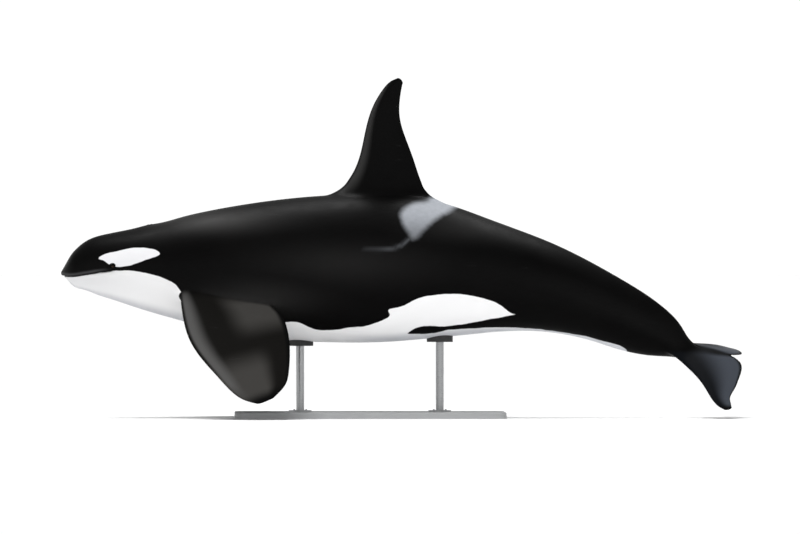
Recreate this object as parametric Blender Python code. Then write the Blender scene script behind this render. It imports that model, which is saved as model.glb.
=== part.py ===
"""A life-size orca, a young adult male, arched as it swims, held by a plain display stand.

Metres, +Z up. The head points along -X, so the animal's left side faces -Y. The origin is the centre
of the stand's underside, on the floor. Every outline is a short table of real sizes along the animal,
and all that grows from the body is placed from the body's own surface.
"""

import math

import bmesh
import bpy
import numpy as np
from mathutils import Vector

# The body's axis, from the tip of the upper jaw: how far aft it is and how much higher than that tip.
SNOUT_X = -2.963
SNOUT_HEIGHT = 1.396
AXIS = (
    (0.00, 0.000),
    (0.37, 0.055),
    (0.95, 0.040),
    (1.81, 0.022),
    (3.00, 0.040),
    (3.73, 0.015),
    (4.21, -0.050),
    (4.69, -0.148),
    (5.17, -0.297),
    (5.56, -0.469),
    (5.80, -0.599),
    (5.95, -0.700),
    (6.10, -0.775),
    (6.28, -0.800),
    (6.46, -0.813),
)

# Sections square to the axis: distance along it, back above it, belly below it, half the width, and how
# sharp the crest of the back and the keel of the belly are, where 1 is an ellipse.
STATIONS = (
    (0.00, 0.040, 0.100, 0.185, 0.90, 1.00),
    (0.06, 0.097, 0.150, 0.222, 0.90, 1.00),
    (0.15, 0.178, 0.183, 0.258, 0.92, 1.02),
    (0.30, 0.272, 0.253, 0.318, 0.94, 1.05),
    (0.45, 0.312, 0.306, 0.368, 0.96, 1.06),
    (0.70, 0.372, 0.376, 0.438, 0.98, 1.04),
    (1.06, 0.483, 0.463, 0.522, 0.98, 1.00),
    (1.70, 0.623, 0.613, 0.618, 0.98, 0.98),
    (2.50, 0.704, 0.700, 0.655, 0.98, 0.98),
    (3.00, 0.712, 0.709, 0.645, 1.00, 0.99),
    (3.50, 0.672, 0.670, 0.600, 1.03, 1.00),
    (4.00, 0.550, 0.580, 0.515, 1.07, 1.03),
    (4.60, 0.432, 0.448, 0.390, 1.13, 1.08),
    (5.30, 0.302, 0.368, 0.240, 1.25, 1.22),
    (5.62, 0.260, 0.337, 0.180, 1.33, 1.32),
    (5.80, 0.224, 0.293, 0.150, 1.35, 1.35),
    (5.97, 0.170, 0.219, 0.124, 1.30, 1.30),
    (6.10, 0.108, 0.132, 0.106, 1.15, 1.15),
    (6.24, 0.062, 0.072, 0.088, 1.05, 1.05),
    (6.42, 0.042, 0.042, 0.058, 1.00, 1.00),
    (6.60, 0.016, 0.016, 0.018, 1.00, 1.00),
)
NOSE_ROUNDING = 0.15
TAIL_ROLL = math.radians(21)
ROLL_FROM, ROLL_TO = 3.9, 6.2

# Where the body is parted into its nodes, as distances along the axis.
NECK_AT = 1.06
WAIST_AT = 2.45
TAIL_AT = 4.35
BODY_END = STATIONS[-1][0]
GAP = 0.0003

# The mouth: how far aft of the snout's tip and how much higher, then the throat behind its corner.
MOUTH_LINE = (
    (-0.08, -0.020),
    (0.045, -0.036),
    (0.10, -0.040),
    (0.18, -0.031),
    (0.275, -0.016),
    (0.37, -0.001),
    (0.45, 0.009),
    (0.505, 0.015),
)
THROAT_LINE = (
    (0.505, 0.015),
    (0.575, -0.014),
    (0.635, -0.075),
    (0.690, -0.180),
    (0.735, -0.330),
    (0.790, -0.560),
)
LIP_OVERHANG = 0.014
LIP_FADES = (0.30, 0.62)

EYE_AT = 0.503
EYE_TURN = math.radians(90.6)
EYE_RADIUS = 0.021
EYE_SUNK = 0.015
LID_LENGTH, LID_HEIGHT, LID_ROLL = 0.070, 0.043, 0.008

BLOWHOLE_AT = 0.80
BLOWHOLE_RADIUS = 0.055
BLOWHOLE_SPREAD = math.radians(78)
BLOWHOLE_GROOVE = 0.011

# Fins: each row is a section from root to tip, as leading edge and trailing edge (aft, out), then thickness.
DORSAL_AT = 3.13
DORSAL_ROWS = (
    (-0.760, -0.080, 0.640, -0.190, 0.340),
    (-0.545, 0.006, 0.485, -0.058, 0.290),
    (-0.449, 0.058, 0.410, -0.006, 0.250),
    (-0.385, 0.124, 0.352, 0.068, 0.215),
    (-0.324, 0.221, 0.302, 0.188, 0.180),
    (-0.263, 0.376, 0.250, 0.345, 0.148),
    (-0.215, 0.590, 0.187, 0.515, 0.115),
    (-0.137, 0.850, 0.119, 0.755, 0.082),
    (-0.050, 1.000, 0.121, 0.910, 0.058),
    (0.040, 1.093, 0.136, 1.012, 0.038),
    (0.120, 1.125, 0.150, 1.082, 0.018),
)
FLIPPER_AT = 1.335
FLIPPER_TURN = math.radians(119)
FLIPPER_ROWS = (
    (-0.190, -0.200, 0.150, -0.280, 0.190),
    (-0.178, -0.020, 0.280, -0.100, 0.150),
    (-0.168, 0.120, 0.490, 0.000, 0.125),
    (-0.145, 0.310, 0.690, 0.100, 0.110),
    (-0.085, 0.555, 0.808, 0.290, 0.095),
    (0.040, 0.790, 0.856, 0.510, 0.080),
    (0.185, 0.985, 0.866, 0.730, 0.066),
    (0.330, 1.160, 0.852, 0.950, 0.052),
    (0.465, 1.248, 0.795, 1.110, 0.038),
    (0.575, 1.278, 0.700, 1.220, 0.020),
)
FLIPPER_SPLAY_ROOT = math.radians(46)
FLIPPER_SPLAY_TIP = math.radians(29)
FLUKES_AT = 6.15
FLUKE_CHORD_PITCH = math.radians(8)
FLUKE_ROWS = (
    (-0.380, 0.014, 0.440, 0.014, 0.094),
    (-0.200, 0.085, 0.480, 0.048, 0.088),
    (-0.085, 0.180, 0.530, 0.118, 0.070),
    (0.018, 0.303, 0.545, 0.236, 0.056),
    (0.122, 0.439, 0.524, 0.380, 0.046),
    (0.208, 0.586, 0.491, 0.536, 0.037),
    (0.287, 0.740, 0.453, 0.690, 0.029),
    (0.352, 0.820, 0.466, 0.760, 0.022),
    (0.428, 0.860, 0.478, 0.826, 0.014),
)
FLUKE_DROOP_ROOT = math.radians(11)
FLUKE_DROOP_TIP = math.radians(23)
TRAILING_EDGE = 0.006

# The stand.
BASE_LENGTH, BASE_WIDTH, BASE_THICKNESS = 2.60, 1.10, 0.060
BASE_CORNER, BASE_BEVEL = 0.080, 0.008
ROD_X = {"front": -0.670, "rear": 0.670}
ROD_RADIUS = 0.038
FLANGE_RADIUS, FLANGE_THICKNESS = 0.110, 0.016
PAD_RADIUS, PAD_THICKNESS = 0.125, 0.045

# How finely each surface is divided.
AROUND = 40
NOSE_RINGS = 7
RING_SPACING = {"head": 0.055, "chest": 0.125, "midbody": 0.125, "tail_stock": 0.095}
FIN_CHORD_STEPS = 12
FIN_SPAN_STEPS = 20
FIN_END_CROWDING = 0.5
ROUND_STEPS = 32

# Base colour, roughness and metallic of each material.
MATERIALS = {
    "skin": ((0.012, 0.012, 0.014), 0.38, 0.0),
    "eye": ((0.030, 0.014, 0.008), 0.10, 0.0),
    "base_paint": ((0.42, 0.43, 0.44), 0.45, 0.0),
    "rod_steel": ((0.56, 0.57, 0.58), 0.30, 1.0),
    "pad_rubber": ((0.020, 0.020, 0.020), 0.80, 0.0),
}


def clear_scene():
    for obj in list(bpy.data.objects):
        bpy.data.objects.remove(obj)


# Curves through the tables.


def spline(knots, values):
    """A natural cubic spline through the values, which may be rows, as a function of the knots' variable."""
    x = np.asarray(knots, float)
    y = np.asarray(values, float).reshape(len(x), -1)
    h = np.diff(x)[:, None]
    rises = np.diff(y, axis=0) / h
    system = np.eye(len(x))
    right = np.zeros_like(y)
    for i in range(1, len(x) - 1):
        system[i, i - 1 : i + 2] = h[i - 1, 0], 2 * (h[i - 1, 0] + h[i, 0]), h[i, 0]
        right[i] = 6 * (rises[i] - rises[i - 1])
    bend = np.linalg.solve(system, right)

    def at(where):
        where = np.atleast_1d(np.asarray(where, float))
        i = np.clip(np.searchsorted(x, where) - 1, 0, len(x) - 2)
        before = (where - x[i])[:, None]
        after = (x[i + 1] - where)[:, None]
        width = h[i]
        return (
            (bend[i] * after**3 + bend[i + 1] * before**3) / (6 * width)
            + (y[i] / width - bend[i] * width / 6) * after
            + (y[i + 1] / width - bend[i + 1] * width / 6) * before
        )

    return at


def along(points):
    """The distance of each point along the line through them."""
    steps = np.linalg.norm(np.diff(np.asarray(points, float), axis=0), axis=1)
    return np.concatenate([[0.0], np.cumsum(steps)])


def smoothstep(low, high, value):
    t = np.clip((value - low) / (high - low), 0.0, 1.0)
    return t * t * (3 - 2 * t)


AXIS_CURVE = spline(along(AXIS), AXIS)
STATION_CURVES = spline([row[0] for row in STATIONS], [row[1:] for row in STATIONS])
UP = np.array((0.0, 0.0, 1.0))
SIDE = np.array((0.0, 1.0, 0.0))


# The body's surface.


def axis_frame(d):
    """The axis at distance d: its place, and the directions aft, to the right side and to the back."""
    step = 1e-3
    flat = AXIS_CURVE(d)
    slope = (AXIS_CURVE(d + step) - AXIS_CURVE(d - step)) / (2 * step)
    slope /= np.linalg.norm(slope, axis=1)[:, None]
    zero = np.zeros(len(flat))
    place = np.stack([SNOUT_X + flat[:, 0], zero, SNOUT_HEIGHT + flat[:, 1]], axis=1)
    aft = np.stack([slope[:, 0], zero, slope[:, 1]], axis=1)
    straight_up = np.stack([-slope[:, 1], zero, slope[:, 0]], axis=1)
    roll = (TAIL_ROLL * smoothstep(ROLL_FROM, ROLL_TO, d))[:, None]
    right = np.cos(roll) * SIDE + np.sin(roll) * straight_up
    back = np.cos(roll) * straight_up - np.sin(roll) * SIDE
    return place, aft, right, back


def body_points(d, turn, inset=0.0):
    """Points of the body's surface, drawn in at the sides by inset.

    turn is 0 on the back, a quarter turn on the right side and a half on the belly.
    """
    d, turn = np.broadcast_arrays(
        np.atleast_1d(np.asarray(d, float)), np.asarray(turn, float)
    )
    back_size, belly_size, half_width, crest, keel = STATION_CURVES(d).T
    nose = np.sqrt(1 - np.clip(1 - d / NOSE_ROUNDING, 0.0, 1.0) ** 2)
    rise, reach = np.cos(turn), np.sin(turn)
    size = np.where(rise > 0, back_size, belly_size)
    sharpness = np.where(rise > 0, crest, keel)
    out = np.maximum(half_width - inset, 0.0) * nose * np.sign(reach)
    out = out * np.abs(reach) ** sharpness
    up = size * nose * rise
    place, _, right, back = axis_frame(d)
    return place + out[:, None] * right + up[:, None] * back


def body_spot(d, turn):
    """One point of the surface and the directions there: outward, aft along it and round it."""
    step = 1e-3
    here = body_points(d, turn)[0]
    aft = body_points(d + step, turn)[0] - body_points(d - step, turn)[0]
    round_it = body_points(d, turn + step)[0] - body_points(d, turn - step)[0]
    aft /= np.linalg.norm(aft)
    round_it /= np.linalg.norm(round_it)
    outward = np.cross(aft, round_it)
    return here, outward / np.linalg.norm(outward), aft, round_it


# Meshes.


def new_object(name, mesh):
    obj = bpy.data.objects.new(name, mesh)
    bpy.context.scene.collection.objects.link(obj)
    return obj


def object_from(name, points, faces):
    """An object of these points and faces, with its normals facing out."""
    mesh = bpy.data.meshes.new(name)
    mesh.from_pydata([tuple(map(float, p)) for p in points], [], faces)
    work = bmesh.new()
    work.from_mesh(mesh)
    bmesh.ops.recalc_face_normals(work, faces=work.faces)
    bmesh.ops.triangulate(work, faces=work.faces)
    work.to_mesh(mesh)
    work.free()
    return new_object(name, mesh)


def tube_of_rings(name, rings, start=None, end=None):
    """A closed surface through rings of equal count. start and end are tip points, or None for a flat cap."""
    count = len(rings[0])
    points = [p for ring in rings for p in ring]
    faces = []
    for i in range(len(rings) - 1):
        for j in range(count):
            k = (j + 1) % count
            faces.append((i * count + j, i * count + k, (i + 1) * count + k, (i + 1) * count + j))
    last = (len(rings) - 1) * count
    for tip, first in ((start, 0), (end, last)):
        if tip is None:
            tip = np.mean(points[first : first + count], axis=0)
        points.append(tip)
        apex = len(points) - 1
        faces += [(first + j, first + (j + 1) % count, apex) for j in range(count)]
    return object_from(name, points, faces)


def apply_modifiers(obj):
    graph = bpy.context.evaluated_depsgraph_get()
    mesh = bpy.data.meshes.new_from_object(obj.evaluated_get(graph))
    obj.modifiers.clear()
    obj.data = mesh


def combine(obj, others, operation):
    """Joins the others to obj, or cuts them from it, and removes them."""
    for other in others:
        modifier = obj.modifiers.new(operation, "BOOLEAN")
        modifier.operation = operation
        modifier.object = other
        modifier.solver = "EXACT"
    apply_modifiers(obj)
    for other in others:
        bpy.data.objects.remove(other)
    keep_largest(obj)
    return obj


def keep_largest(obj):
    """Leaves only the largest closed surface of the object's mesh."""
    work = bmesh.new()
    work.from_mesh(obj.data)
    unseen = set(work.faces)
    shells = []
    while unseen:
        shell = [unseen.pop()]
        for face in shell:
            for edge in face.edges:
                for other in edge.link_faces:
                    if other in unseen:
                        unseen.remove(other)
                        shell.append(other)
        shells.append(shell)
    shells.sort(key=lambda shell: sum(face.calc_area() for face in shell))
    scraps = [face for shell in shells[:-1] for face in shell]
    if scraps:
        bmesh.ops.delete(work, geom=scraps, context="FACES")
    work.to_mesh(obj.data)
    work.free()


def grown_copy(obj, by):
    """A helper copy of a solid, larger by a small distance all over."""
    copy = new_object(obj.name + "_grown", obj.data.copy())
    normals = [Vector(v.normal) for v in copy.data.vertices]
    for vertex, normal in zip(copy.data.vertices, normals):
        vertex.co += normal * by
    return copy


def prism(name, outline, half_width):
    """A solid with an outline in the XZ plane, as wide on each side of the middle."""
    count = len(outline)
    points = [(x, y, z) for y in (-half_width, half_width) for x, z in outline]
    faces = [tuple(range(count)), tuple(range(2 * count - 1, count - 1, -1))]
    for i in range(count):
        k = (i + 1) % count
        faces.append((i, k, count + k, count + i))
    return object_from(name, points, faces)


def ring_tube(name, centre, first, second, radii, tube, axis):
    """A closed ring of round section along an ellipse."""
    rings = []
    for a in np.linspace(0, 2 * math.pi, ROUND_STEPS // 2, endpoint=False):
        line = first * radii[0] * math.cos(a) + second * radii[1] * math.sin(a)
        outward = line / np.linalg.norm(line)
        turns = np.linspace(0, 2 * math.pi, 8, endpoint=False)
        rings.append([centre + line + tube * (math.cos(b) * outward + math.sin(b) * axis) for b in turns])
    count = len(rings[0])
    points = [p for ring in rings for p in ring]
    faces = []
    for i in range(len(rings)):
        n = (i + 1) % len(rings)
        for j in range(count):
            k = (j + 1) % count
            faces.append((i * count + j, i * count + k, n * count + k, n * count + j))
    return object_from(name, points, faces)


def ball(name, centre, radius):
    mesh = bpy.data.meshes.new(name)
    work = bmesh.new()
    bmesh.ops.create_icosphere(work, subdivisions=3, radius=radius)
    bmesh.ops.translate(work, verts=work.verts, vec=Vector(centre))
    work.to_mesh(mesh)
    work.free()
    return new_object(name, mesh)


# The body's lengths.


def ring_turns():
    return np.linspace(0, 2 * math.pi, AROUND, endpoint=False)


def body_length(name, start, end, spacing, inset=0.0):
    """The body from one distance along its axis to another, closed by flat faces."""
    steps = max(2, round((end - start) / spacing))
    if start == 0.0:
        nose = NOSE_ROUNDING * (1 - np.cos(np.linspace(0, math.pi / 2, NOSE_RINGS + 1)[1:]))
        steps = round((end - NOSE_ROUNDING) / spacing)
        distances = np.concatenate([nose, np.linspace(NOSE_ROUNDING, end, steps + 1)[1:]])
        tip = body_points(0.0, 0.0)[0]
    else:
        distances = np.linspace(start, end, steps + 1)
        tip = None
    if callable(inset):
        rings = [body_points(d, ring_turns(), inset(d)) for d in distances]
    else:
        rings = [body_points(d, ring_turns(), inset) for d in distances]
    return tube_of_rings(name, rings, start=tip)


def mouth_outline(shift=0.0):
    """The side outline of what lies under the mouth line and in front of the throat."""
    knots = [x for x, _ in MOUTH_LINE]
    heights = spline(knots, [z for _, z in MOUTH_LINE])
    fine = np.linspace(knots[0], knots[-1], 20)
    line = [(x, float(heights(x)[0, 0])) for x in fine]
    throat = spline(along(THROAT_LINE), THROAT_LINE)
    line += [tuple(point) for point in throat(np.linspace(0.0, along(THROAT_LINE)[-1], 10)[1:])]
    line.append((MOUTH_LINE[0][0], THROAT_LINE[-1][1]))
    return [(SNOUT_X + x - shift, SNOUT_HEIGHT + z - shift) for x, z in line]


def make_jaw():
    """The lower jaw, which sits a little inside the upper lip at its front and sides."""

    def lip_inset(d):
        return LIP_OVERHANG * (1 - float(smoothstep(*LIP_FADES, d)))

    jaw = body_length("lower_jaw", 0.0, 0.95, RING_SPACING["head"], lip_inset)
    return combine(jaw, [prism("below_mouth", mouth_outline(GAP), 1.0)], "INTERSECT")


def eye_spot(side):
    """The eye's place on the surface, with its directions. side is 1 on the right and -1 on the left."""
    return body_spot(EYE_AT, side * EYE_TURN)


def make_eye(name, side):
    here, outward, _, _ = eye_spot(side)
    return ball(name, here - EYE_SUNK * outward, EYE_RADIUS)


def make_lids(side):
    """The lids as one low roll round the eye."""
    here, outward, aft, round_it = eye_spot(side)
    radii = (LID_LENGTH / 2, LID_HEIGHT / 2)
    return ring_tube("lids", here - 0.25 * LID_ROLL * outward, aft, round_it, radii, LID_ROLL, outward)


def blowhole_groove():
    """The blowhole's slit, a crescent whose horns point forward."""
    here, outward, aft, round_it = body_spot(BLOWHOLE_AT, 0.0)
    rings = []
    for a in np.linspace(-BLOWHOLE_SPREAD, BLOWHOLE_SPREAD, 15):
        radial = math.cos(a) * aft + math.sin(a) * round_it
        middle = here + BLOWHOLE_RADIUS * (radial - 0.4 * aft) + 0.002 * outward
        tube = BLOWHOLE_GROOVE * (0.35 + 0.65 * math.cos(a / BLOWHOLE_SPREAD * math.pi / 2))
        turns = np.linspace(0, 2 * math.pi, 8, endpoint=False)
        rings.append([middle + tube * (math.cos(b) * radial + math.sin(b) * outward) for b in turns])
    return tube_of_rings("blowhole", rings)


def make_head():
    head = body_length("head", 0.0, NECK_AT - GAP / 2, RING_SPACING["head"])
    combine(head, [make_lids(1), make_lids(-1)], "UNION")
    cuts = [prism("below_mouth", mouth_outline(), 1.0), blowhole_groove()]
    for side in (1, -1):
        here, outward, _, _ = eye_spot(side)
        cuts.append(ball("socket", here - EYE_SUNK * outward, EYE_RADIUS + GAP))
    return combine(head, cuts, "DIFFERENCE")


# Fins.


def foil(chord_share):
    """Half the thickness of a fin's section along its chord, as a share of its full thickness."""
    c = chord_share
    shape = 0.2969 * np.sqrt(c) - 0.1260 * c - 0.3516 * c**2 + 0.2843 * c**3 - 0.1036 * c**4
    return 5 * shape


def fin(name, rows, place):
    """A fin from its table. place turns distances aft and out, and height off its middle plane, into points."""
    table = np.asarray(rows, float)
    middles = (table[:, 0:2] + table[:, 2:4]) / 2
    curves = spline(along(middles), table)
    length = along(middles)[-1]
    shares = np.linspace(0, 1, FIN_SPAN_STEPS + 1)
    shares -= FIN_END_CROWDING * np.sin(2 * math.pi * shares) / (2 * math.pi)
    chord = (1 - np.cos(np.linspace(0, math.pi, FIN_CHORD_STEPS + 1))) / 2
    rings = []
    for share in shares:
        lead_aft, lead_out, trail_aft, trail_out, thickness = curves(share * length)[0]
        half = np.maximum(foil(chord) * thickness, TRAILING_EDGE / 2 * np.sqrt(chord))
        aft = lead_aft + chord * (trail_aft - lead_aft)
        out = lead_out + chord * (trail_out - lead_out)
        upper = [place(a, o, h) for a, o, h in zip(aft, out, half)]
        lower = [place(a, o, -h) for a, o, h in zip(aft, out, half)]
        rings.append(upper + lower[:0:-1])
    return tube_of_rings(name, rings)


def swept_place(foot, aft, across, lift, angle_root, angle_tip, span):
    """Places a fin that curves along its span: its slope from across towards lift goes from one angle to the other."""

    def place(a, out, height):
        bend = (angle_tip - angle_root) / span
        angle = angle_root + bend * out
        if abs(bend) < 1e-6:
            run, rise = out * math.cos(angle_root), out * math.sin(angle_root)
        else:
            run = (math.sin(angle) - math.sin(angle_root)) / bend
            rise = (math.cos(angle_root) - math.cos(angle)) / bend
        normal = math.cos(angle) * lift - math.sin(angle) * across
        return foot + a * aft + run * across + rise * lift + height * normal

    return place


def make_dorsal_fin(midbody):
    foot = body_points(DORSAL_AT, 0.0)[0]
    aft = np.array((1.0, 0.0, 0.0))
    blade = fin("dorsal_fin", DORSAL_ROWS, lambda a, out, height: foot + a * aft + out * UP + height * SIDE)
    return combine(blade, [grown_copy(midbody, GAP)], "DIFFERENCE")


def make_flipper(name, side, chest):
    """A flipper that hangs out and down from the chest, and curves in towards its tip."""
    foot = body_points(FLIPPER_AT, side * FLIPPER_TURN)[0]
    span = max(row[1] for row in FLIPPER_ROWS)
    place = swept_place(
        foot,
        np.array((1.0, 0.0, 0.0)),
        -UP,
        side * SIDE,
        FLIPPER_SPLAY_ROOT,
        FLIPPER_SPLAY_TIP,
        span,
    )
    blade = fin(name, FLIPPER_ROWS, place)
    return combine(blade, [grown_copy(chest, GAP)], "DIFFERENCE")


def make_fluke(name, side, tail_stock):
    """One fluke. The tail's roll lifts the right one and drops the left one, and both droop to their tips."""
    foot = axis_frame(np.array([FLUKES_AT]))[0][0]
    aft = math.cos(FLUKE_CHORD_PITCH) * np.array((1.0, 0.0, 0.0)) - math.sin(FLUKE_CHORD_PITCH) * UP
    lift = math.cos(FLUKE_CHORD_PITCH) * UP + math.sin(FLUKE_CHORD_PITCH) * np.array((1.0, 0.0, 0.0))
    span = max(row[1] for row in FLUKE_ROWS)
    roll = side * TAIL_ROLL
    place = swept_place(
        foot,
        aft,
        side * SIDE,
        lift,
        roll - FLUKE_DROOP_ROOT,
        roll - FLUKE_DROOP_TIP,
        span,
    )
    blade = fin(name, FLUKE_ROWS, place)
    return combine(blade, [grown_copy(tail_stock, GAP)], "DIFFERENCE")


# The stand.


def disc(name, x, low, high, radius):
    """An upright cylinder over the base's long middle line."""
    mesh = bpy.data.meshes.new(name)
    work = bmesh.new()
    bmesh.ops.create_cone(
        work,
        cap_ends=True,
        segments=ROUND_STEPS,
        radius1=radius,
        radius2=radius,
        depth=high - low,
    )
    bmesh.ops.translate(work, verts=work.verts, vec=(x, 0.0, (low + high) / 2))
    work.to_mesh(mesh)
    work.free()
    return new_object(name, mesh)


def make_base():
    """A flat plate with round corners and a small bevel along its top edge."""
    mesh = bpy.data.meshes.new("stand_base")
    work = bmesh.new()
    bmesh.ops.create_cube(work, size=1.0)
    bmesh.ops.scale(work, verts=work.verts, vec=(BASE_LENGTH, BASE_WIDTH, BASE_THICKNESS))
    bmesh.ops.translate(work, verts=work.verts, vec=(0.0, 0.0, BASE_THICKNESS / 2))
    upright = [e for e in work.edges if abs(e.verts[0].co.z - e.verts[1].co.z) > BASE_THICKNESS / 2]
    bmesh.ops.bevel(work, geom=upright, offset=BASE_CORNER, segments=6, profile=0.5, affect="EDGES")
    top = [e for e in work.edges if all(v.co.z > BASE_THICKNESS - 1e-6 for v in e.verts)]
    bmesh.ops.bevel(work, geom=top, offset=BASE_BEVEL, segments=2, profile=0.5, affect="EDGES")
    work.to_mesh(mesh)
    work.free()
    return new_object("stand_base", mesh)


def belly_height(x):
    """The height of the belly's lowest line over a place on the base."""
    distances = np.linspace(0.3, TAIL_AT, 400)
    line = body_points(distances, math.pi)
    return float(np.interp(x, line[:, 0], line[:, 2]))


def make_support(end, body_node):
    """One rod with its flange on the base and a pad that is cut to the belly."""
    x = ROD_X[end]
    belly = belly_height(x)
    flange_top = BASE_THICKNESS + GAP + FLANGE_THICKNESS
    pad_low = belly - PAD_THICKNESS
    flange = disc(f"stand_flange_{end}", x, BASE_THICKNESS + GAP, flange_top, FLANGE_RADIUS)
    rod = disc(f"stand_rod_{end}", x, flange_top + GAP, pad_low - GAP, ROD_RADIUS)
    pad = disc(f"stand_pad_{end}", x, pad_low, belly + PAD_THICKNESS, PAD_RADIUS)
    combine(pad, [grown_copy(body_node, GAP)], "DIFFERENCE")
    return flange, rod, pad


# Finish.


def material(name):
    colour, roughness, metallic = MATERIALS[name]
    made = bpy.data.materials.get(name) or bpy.data.materials.new(name)
    made.use_nodes = True
    shader = made.node_tree.nodes["Principled BSDF"]
    shader.inputs["Base Color"].default_value = (*colour, 1.0)
    shader.inputs["Roughness"].default_value = roughness
    shader.inputs["Metallic"].default_value = metallic
    return made


def finish(obj, material_name, sharp=math.radians(35)):
    obj.data.materials.clear()
    obj.data.materials.append(material(material_name))
    obj.data.shade_smooth()
    obj.data.set_sharp_from_angle(angle=sharp)


def main():
    clear_scene()
    chest = body_length("chest", NECK_AT + GAP / 2, WAIST_AT - GAP / 2, RING_SPACING["chest"])
    midbody = body_length("midbody", WAIST_AT + GAP / 2, TAIL_AT - GAP / 2, RING_SPACING["midbody"])
    tail_stock = body_length("tail_stock", TAIL_AT + GAP / 2, BODY_END, RING_SPACING["tail_stock"])
    flesh = [make_head(), make_jaw(), chest, midbody, tail_stock, make_dorsal_fin(midbody)]
    for side_name, side in (("left", -1), ("right", 1)):
        flesh.append(make_flipper(f"flipper_{side_name}", side, chest))
        flesh.append(make_fluke(f"fluke_{side_name}", side, tail_stock))
        finish(make_eye(f"eye_{side_name}", side), "eye")
    for obj in flesh:
        finish(obj, "skin")
    finish(make_base(), "base_paint")
    for end, body_node in (("front", chest), ("rear", midbody)):
        flange, rod, pad = make_support(end, body_node)
        finish(flange, "rod_steel")
        finish(rod, "rod_steel")
        finish(pad, "pad_rubber")


main()
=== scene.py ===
import math
from contextlib import contextmanager

import bmesh
import bpy
import numpy as np
from mathutils import Matrix, Vector
from mathutils.bvhtree import BVHTree
from mathutils.kdtree import KDTree


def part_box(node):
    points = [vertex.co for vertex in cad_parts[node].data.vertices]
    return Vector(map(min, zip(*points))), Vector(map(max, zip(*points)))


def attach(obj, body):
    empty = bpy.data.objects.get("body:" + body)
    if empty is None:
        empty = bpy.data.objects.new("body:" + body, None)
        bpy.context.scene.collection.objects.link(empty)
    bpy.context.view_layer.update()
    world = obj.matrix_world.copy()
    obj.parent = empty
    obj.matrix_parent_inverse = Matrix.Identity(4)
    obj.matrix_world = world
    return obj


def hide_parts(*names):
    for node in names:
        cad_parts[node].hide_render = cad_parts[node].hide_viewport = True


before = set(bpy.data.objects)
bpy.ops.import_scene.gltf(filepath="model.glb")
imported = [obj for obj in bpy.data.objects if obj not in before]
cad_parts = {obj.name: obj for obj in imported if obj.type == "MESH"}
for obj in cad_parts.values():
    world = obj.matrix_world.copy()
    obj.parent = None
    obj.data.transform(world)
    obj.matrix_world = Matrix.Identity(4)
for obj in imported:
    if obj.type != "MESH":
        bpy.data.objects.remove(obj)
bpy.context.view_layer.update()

# The body's axis, sections, mouth and fins have the same sizes as the CAD part. Places along the axis,
# sizes and gaps are in metres. The axis and the markings are given aft of the snout's tip and above it.
SNOUT_X = -2.963
SNOUT_HEIGHT = 1.396
AXIS = (
    (0.00, 0.000), (0.37, 0.055), (0.95, 0.040), (1.81, 0.022), (3.00, 0.040),
    (3.73, 0.015), (4.21, -0.050), (4.69, -0.148), (5.17, -0.297), (5.56, -0.469),
    (5.80, -0.599), (5.95, -0.700), (6.10, -0.775), (6.28, -0.800), (6.46, -0.813),
)
# Place along the axis, back above it, belly below it, half the width, sharpness of crest and keel.
STATIONS = (
    (0.00, 0.040, 0.100, 0.185, 0.90, 1.00),
    (0.06, 0.097, 0.150, 0.222, 0.90, 1.00),
    (0.15, 0.178, 0.183, 0.258, 0.92, 1.02),
    (0.30, 0.272, 0.253, 0.318, 0.94, 1.05),
    (0.45, 0.312, 0.306, 0.368, 0.96, 1.06),
    (0.70, 0.372, 0.376, 0.438, 0.98, 1.04),
    (1.06, 0.483, 0.463, 0.522, 0.98, 1.00),
    (1.70, 0.623, 0.613, 0.618, 0.98, 0.98),
    (2.50, 0.704, 0.700, 0.655, 0.98, 0.98),
    (3.00, 0.712, 0.709, 0.645, 1.00, 0.99),
    (3.50, 0.672, 0.670, 0.600, 1.03, 1.00),
    (4.00, 0.550, 0.580, 0.515, 1.07, 1.03),
    (4.60, 0.432, 0.448, 0.390, 1.13, 1.08),
    (5.30, 0.302, 0.368, 0.240, 1.25, 1.22),
    (5.62, 0.260, 0.337, 0.180, 1.33, 1.32),
    (5.80, 0.224, 0.293, 0.150, 1.35, 1.35),
    (5.97, 0.170, 0.219, 0.124, 1.30, 1.30),
    (6.10, 0.108, 0.132, 0.106, 1.15, 1.15),
    (6.24, 0.062, 0.072, 0.088, 1.05, 1.05),
    (6.42, 0.042, 0.042, 0.058, 1.00, 1.00),
    (6.60, 0.016, 0.016, 0.018, 1.00, 1.00),
)
NOSE_ROUNDING = 0.15
SKIN_END, TAIL_FADE = 6.585, 0.14
TAIL_ROLL = math.radians(21)
ROLL_FROM, ROLL_TO = 3.9, 6.2
MOUTH_LINE = (
    (-0.08, -0.020), (0.045, -0.036), (0.10, -0.040), (0.18, -0.031), (0.275, -0.016),
    (0.37, -0.001), (0.45, 0.009), (0.505, 0.015),
)
LIP_OVERHANG = 0.014
LIP_FADES = (0.30, 0.62)
EYE_AT = 0.503
EYE_TURN = math.radians(90.6)
EYE_RADIUS = 0.021
EYE_SUNK = 0.015
EYE_OPENING = (0.024, 0.0135)
BLOWHOLE_AT = 0.80
BLOWHOLE_RADIUS = 0.055
BLOWHOLE_SPREAD = math.radians(78)
# The long slit on the belly, the short one and the swell round them: middle, half the length, and its end.
SLITS = ((3.92, 0.10, 0.16), (4.24, 0.03, 0.06), (3.97, 0.10, 0.24))

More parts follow.
